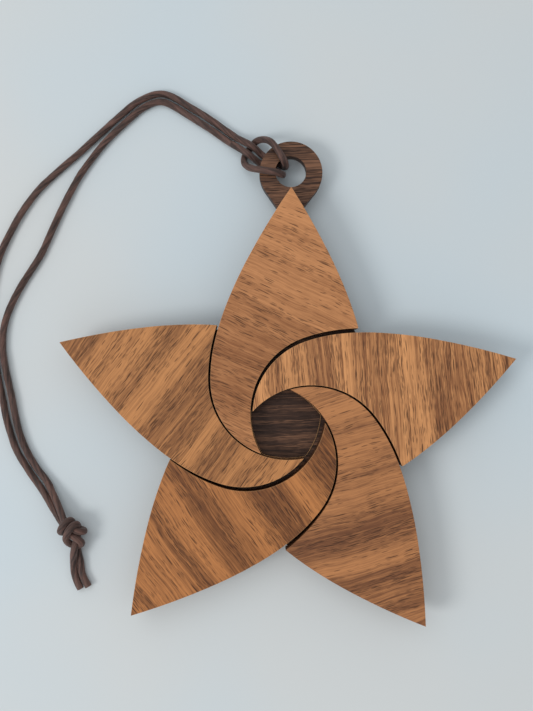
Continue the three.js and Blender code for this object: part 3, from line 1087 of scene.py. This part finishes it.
    def lay(self, name: str, lines: list[list[Vector]], **values: object) -> bpy.types.Object:
        """Lay cord along lines and return it as a plain mesh object.

        Args:
            name: The new piece's name.
            lines: One line of points for each stretch of cord.
            values: Inputs of the tree, with _ for a space.

        Returns:
            The new object, at the origin.
        """
        curve = bpy.data.curves.new(name + "_route", "CURVE")
        curve.dimensions = "3D"
        for line in lines:
            spline = curve.splines.new("POLY")
            spline.points.add(len(line) - 1)
            for point, place in zip(spline.points, line):
                point.co = (*place, 1.0)
        route = bpy.data.objects.new(name + "_route", curve)
        bpy.context.scene.collection.objects.link(route)
        modifier = route.modifiers.new("cord", "NODES")
        modifier.node_group = self.graph.tree
        for label, value in values.items():
            modifier[self.socket(label.replace("_", " "))] = value
        graph = bpy.context.evaluated_depsgraph_get()
        mesh = bpy.data.meshes.new_from_object(
            route.evaluated_get(graph), preserve_all_data_layers=True, depsgraph=graph
        )
        mesh.name = name
        bpy.data.objects.remove(route)
        piece = bpy.data.objects.new(name, mesh)
        bpy.context.scene.collection.objects.link(piece)
        return piece


@dataclass
class Cord:
    """The doubled hanging cord: a hitch round the ring, two strands, and a knot with two tails."""

    effects: Effects
    diameter: float = 1.8 * MM
    strand_radius: float = 0.84 * MM
    knot_radius: float = 0.86 * MM
    knot_step: float = 0.25 * MM
    knot_spacing: float = 0.2
    knot_start: int = 2
    strand_tuck: int = 4
    body: str = "back_plate"
    slot: str = "waxed_cord"

    def build(self) -> None:
        """Lay every stretch of the cord and log the lengths of its two free strands."""
        tree = CordTree()
        twine = TwineFinish().material(self.effects)
        strand = {"Radius": self.strand_radius, "Material": twine}
        hitch = tree.lay("ring_hitch", [through(HITCH_ROUTE)], **strand, Seed=0.0)
        strand_a = through(STRAND_A_ROUTE + KNOT_A_ROUTE[: self.strand_tuck])
        strand_b = through(STRAND_B_ROUTE + KNOT_B_ROUTE[: self.strand_tuck])
        outer = tree.lay("outer_strand", [strand_a], **strand, Seed=0.31)
        inner = tree.lay("inner_strand", [strand_b], **strand, Seed=0.73)
        core = [
            through(route[self.knot_start :], self.knot_spacing)
            for route in (KNOT_A_ROUTE, KNOT_B_ROUTE)
        ]
        knot = tree.lay(
            "overhand_knot", core, Radius=self.knot_radius, Material=twine, Seed=1.17,
            Step=self.knot_step,
        )
        for piece, nodes in (
            (hitch, ("cord_hitch",)),
            (outer, ("cord_strand_a",)),
            (inner, ("cord_strand_b",)),
            (knot, ("cord_knot", "cord_tail_a", "cord_tail_b")),
        ):
            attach(piece, self.body)
            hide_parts(*nodes)
            LOG.info("%s: %d faces", piece.name, len(piece.data.polygons))
        for piece, line in ((outer, strand_a), (inner, strand_b)):
            LOG.info("%s: %.1f mm long", piece.name, run_length(line) / MM)


# ---- Studio ----
@dataclass
class Lamp:
    """One soft lamp that looks at the middle of the star."""

    name: str
    azimuth: float
    elevation: float
    distance: float
    size: float
    power: float
    colour: Rgb = (1.0, 1.0, 1.0)

    def build(self, target: Vector) -> None:
        """Make the lamp.

        Args:
            target: Where it points.
        """
        a, e = math.radians(self.azimuth), math.radians(self.elevation)
        away = Vector((math.cos(a) * math.cos(e), math.sin(a) * math.cos(e), math.sin(e)))
        data = bpy.data.lights.new(self.name, "AREA")
        data.shape = "DISK"
        data.size = self.size
        data.energy = self.power
        data.color = self.colour
        lamp = bpy.data.objects.new(self.name, data)
        lamp.location = target + away * self.distance
        lamp.rotation_mode = "QUATERNION"
        lamp.rotation_quaternion = (-away).to_track_quat("-Z", "Y")
        lamp.visible_camera = False
        bpy.context.scene.collection.objects.link(lamp)
        LOG.info("%s: %.2f W", self.name, self.power)


@dataclass
class Studio:
    """Pale floor, soft light and the camera that looks down on the star."""

    place: Point = (-7.64 * MM, 8.95 * MM, 200.1 * MM)
    forward: Point = (0.0129, 0.0401, -0.9991)
    upward: Point = (-0.0328, 0.9987, 0.0397)
    lens: float = 40.51
    sensor: float = 36.0
    clip: tuple[float, float] = (0.01, 20.0)
    floor_size: float = 3.0
    floor_drop: float = 0.02 * MM
    ambient: float = 0.57
    ambient_colour: Rgb = (0.97, 0.99, 1.0)
    lamps: tuple[Lamp, ...] = (
        Lamp("window", 204.0, 43.0, 0.9, 0.34, 2.6, (1.0, 0.985, 0.96)),
        Lamp("sky_card", 130.0, 60.0, 1.1, 0.8, 1.7, (0.95, 0.98, 1.0)),
    )

    def camera(self) -> None:
        """Make the camera and use it."""
        back = -Vector(self.forward).normalized()
        right = Vector(self.upward).cross(back).normalized()
        data = bpy.data.cameras.new("camera")
        data.sensor_width = self.sensor
        data.sensor_fit = "AUTO"
        data.lens = self.lens
        data.clip_start, data.clip_end = self.clip
        camera = bpy.data.objects.new("camera", data)
        turn = Matrix((right, back.cross(right), back)).transposed()
        camera.matrix_world = Matrix.Translation(self.place) @ turn.to_4x4()
        bpy.context.scene.collection.objects.link(camera)
        bpy.context.scene.camera = camera
        LOG.info("camera: %.1f mm lens", self.lens)

    def floor(self) -> None:
        """Make the pale floor."""
        work = bmesh.new()
        bmesh.ops.create_grid(work, x_segments=2, y_segments=2, size=self.floor_size / 2)
        mesh = bpy.data.meshes.new("floor")
        work.to_mesh(mesh)
        work.free()
        mesh.transform(Matrix.Translation((0, 0, -self.floor_drop)))
        mesh.materials.append(FloorFinish().material())
        floor = bpy.data.objects.new("floor", mesh)
        bpy.context.scene.collection.objects.link(floor)
        LOG.info("floor: %.1f m square", self.floor_size)

    def build(self) -> None:
        """Make the camera, the floor, the surrounding light and the lamps."""
        self.camera()
        self.floor()
        scene = bpy.context.scene
        scene.view_settings.view_transform = "Standard"
        world = bpy.data.worlds.new("soft_room")
        world.use_nodes = True
        sky = world.node_tree.nodes["Background"]
        sky.inputs["Color"].default_value = (*self.ambient_colour, 1.0)
        sky.inputs["Strength"].default_value = self.ambient
        scene.world = world
        for lamp in self.lamps:
            lamp.build(Vector((0.0, 0.0, 0.0)))


def main() -> None:
    """Load the frame and build every piece in order."""
    logging.basicConfig(level=logging.INFO, format="%(name)s: %(message)s")
    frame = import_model()
    effects = Effects.build()
    Studio().build()
    Cord(effects).build()
    Carrier(frame, effects).build()
    Blades(frame, effects).build()


if __name__ == "__main__":
    main()
